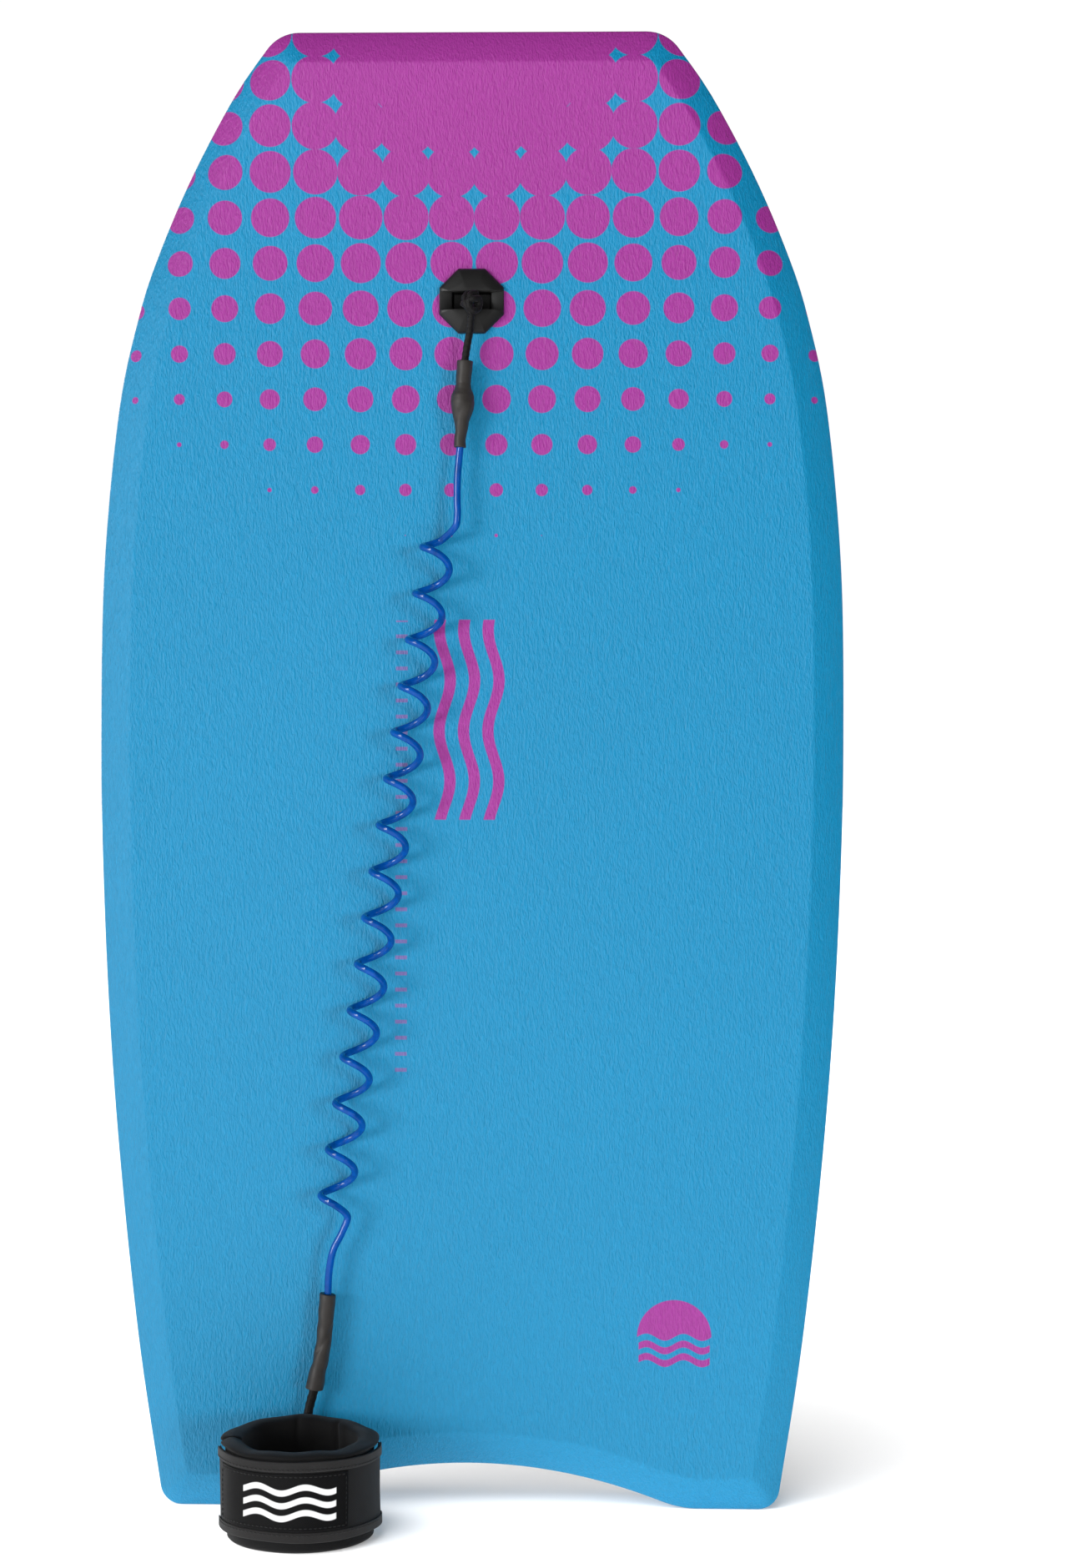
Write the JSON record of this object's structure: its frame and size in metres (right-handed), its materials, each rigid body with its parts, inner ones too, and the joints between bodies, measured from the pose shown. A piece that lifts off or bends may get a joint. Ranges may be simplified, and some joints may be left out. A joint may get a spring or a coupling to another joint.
{
  "type": "bodyboard",
  "caption": "Foam bodyboard with bevelled deck, crescent tail, hard slick, octagonal leash plug and a coiled wrist leash with a padded strap cuff.",
  "frame": {"origin": "on the floor, under the middle of the board's and cuff's shared footprint, with the board standing upright on its tail", "axes": "+Z from tail to nose, +X across the board to the right as the deck is seen, +Y from deck to slick"},
  "size_m": [0.4746, 0.1632, 0.94],
  "materials": {
    "core_foam": "matte",
    "printed_foam": "matte",
    "rail_foam": "matte",
    "slick_plastic": "satin",
    "plug_plastic": "satin",
    "plug_steel": "satin",
    "black_cord": "matte",
    "shrink_sleeve": "matte",
    "blue_lead": "gloss",
    "neoprene": "matte",
    "webbing": "matte",
    "patch": "matte",
    "loop_pile": "matte",
    "hook_pile": "matte",
    "binding": "matte"
  },
  "bodies": {
    "board": {"foam_core": "core_foam", "deck_skin": "printed_foam", "tail_rail": "rail_foam", "nose_rail": "rail_foam", "left_rail": "rail_foam", "right_rail": "rail_foam", "slick_sheet": "slick_plastic", "plug_top": "plug_plastic", "plug_base": "plug_plastic", "plug_crossbar": "plug_steel", "leash_knot": "black_cord"},
    "leash": {"upper_cord": "black_cord", "upper_sleeve": "shrink_sleeve", "joint_knot": "black_cord", "upper_lead": "blue_lead", "leash_coil": "blue_lead"},
    "cuff": {"lower_lead": "blue_lead", "lower_sleeve": "shrink_sleeve", "lower_ferrule": "plug_steel", "lower_cord": "black_cord", "cord_tunnel": "webbing", "cuff_pad": "neoprene", "cuff_strap": "webbing", "loop_panel": "loop_pile"},
    "flap": {"strap_flap": "webbing", "hook_panel": "hook_pile", "cuff_patch": "patch", "flap_binding_top": "binding", "flap_binding_bottom": "binding"}
  },
  "joints": [
    {"name": "leash_swing", "type": "hinge", "parent": "board", "child": "leash", "pos_m": [-0.0003, 0.0172, 0.7565], "axis": [-1, 0, 0], "range_deg": [0, 70]},
    {"name": "leash_stretch", "type": "slide", "parent": "leash", "child": "cuff", "axis": [0, -1, 0], "range_m": [0, 0.4], "stiffness_N_per_m": 6, "deforming": ["leash_coil"]},
    {"name": "strap_peel", "type": "hinge", "parent": "cuff", "child": "flap", "pos_m": [-0.05447, -0.02508, 0.032], "axis": [0, 0, 1], "range_deg": [0, 100]}
  ]
}
